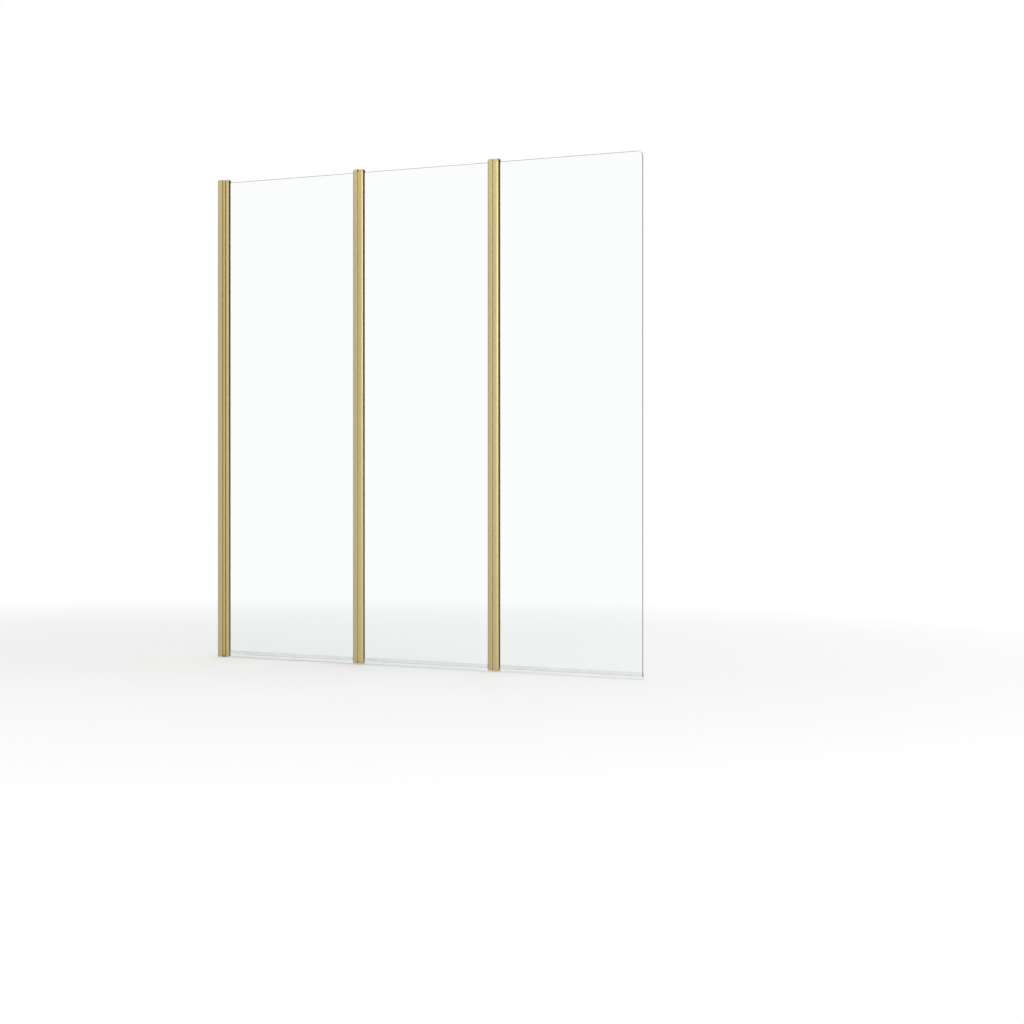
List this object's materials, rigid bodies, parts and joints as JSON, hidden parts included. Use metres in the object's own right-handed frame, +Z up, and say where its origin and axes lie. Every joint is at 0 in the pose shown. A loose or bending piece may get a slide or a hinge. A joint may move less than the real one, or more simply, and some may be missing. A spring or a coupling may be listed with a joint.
{
  "type": "bath screen",
  "caption": "Folding bath screen: clear glass leaves in slim brushed-gold stiles, hinged to a wall channel and folding flat like a concertina over the bath.",
  "frame": {"origin": "on the wall face of the wall channel, in the mid-plane of the glass, at the level of the bath rim", "axes": "+X along the bath rim away from the wall, +Y into the bath, +Z up"},
  "size_m": [1.4, 0.0227, 1.4],
  "materials": {
    "brushed_gold": "brushed, gold anodised",
    "glass": "clear, polished",
    "gasket": "matt",
    "clear_seal": "clear soft plastic",
    "groove_seal": "matt",
    "nylon": "moulded",
    "plug_plastic": "moulded",
    "gold_plastic": "moulded, gold coloured",
    "steel": "stainless"
  },
  "bodies": {
    "wall_unit": {"adjusting_screws": "steel", "channel_plug_bottom": "plug_plastic", "channel_plug_top": "plug_plastic", "hinge_post": "brushed_gold", "post_bushes": "nylon", "post_cap_bottom": "brushed_gold", "post_cap_screws": "steel", "post_cap_top": "brushed_gold", "post_seal": "groove_seal", "screw_covers": "gold_plastic", "wall_channel": "brushed_gold"},
    "leaf_1": {"leaf_1_bushes": "nylon", "leaf_1_cap_screws": "steel", "leaf_1_drip_seal": "clear_seal", "leaf_1_fold_cap_bottom": "brushed_gold", "leaf_1_fold_cap_top": "brushed_gold", "leaf_1_fold_gasket": "gasket", "leaf_1_fold_stile": "brushed_gold", "leaf_1_glass": "glass", "leaf_1_groove_seal": "groove_seal", "leaf_1_hinge_cap_bottom": "brushed_gold", "leaf_1_hinge_cap_top": "brushed_gold", "leaf_1_hinge_gasket": "gasket", "leaf_1_hinge_stile": "brushed_gold", "leaf_1_pins": "steel"},
    "leaf_2": {"leaf_2_bushes": "nylon", "leaf_2_cap_screws": "steel", "leaf_2_drip_seal": "clear_seal", "leaf_2_fold_cap_bottom": "brushed_gold", "leaf_2_fold_cap_top": "brushed_gold", "leaf_2_fold_gasket": "gasket", "leaf_2_fold_stile": "brushed_gold", "leaf_2_glass": "glass", "leaf_2_groove_seal": "groove_seal", "leaf_2_hinge_cap_bottom": "brushed_gold", "leaf_2_hinge_cap_top": "brushed_gold", "leaf_2_hinge_gasket": "gasket", "leaf_2_hinge_stile": "brushed_gold", "leaf_2_pins": "steel"},
    "leaf_3": {"leaf_3_cap_screws": "steel", "leaf_3_drip_seal": "clear_seal", "leaf_3_glass": "glass", "leaf_3_hinge_cap_bottom": "brushed_gold", "leaf_3_hinge_cap_top": "brushed_gold", "leaf_3_hinge_gasket": "gasket", "leaf_3_hinge_stile": "brushed_gold", "leaf_3_pins": "steel"}
  },
  "joints": [
    {"name": "wall_swing", "type": "hinge", "parent": "wall_unit", "child": "leaf_1", "pos_m": [0.0268, 0.00725, 0], "axis": [0, 0, 1], "range_deg": [0, 90]},
    {"name": "first_fold", "type": "hinge", "parent": "leaf_1", "child": "leaf_2", "pos_m": [0.4952, -0.00725, 0], "axis": [0, 0, -1], "range_deg": [0, 180]},
    {"name": "second_fold", "type": "hinge", "parent": "leaf_2", "child": "leaf_3", "pos_m": [0.9418, 0.00725, 0], "axis": [0, 0, 1], "range_deg": [0, 180]}
  ]
}
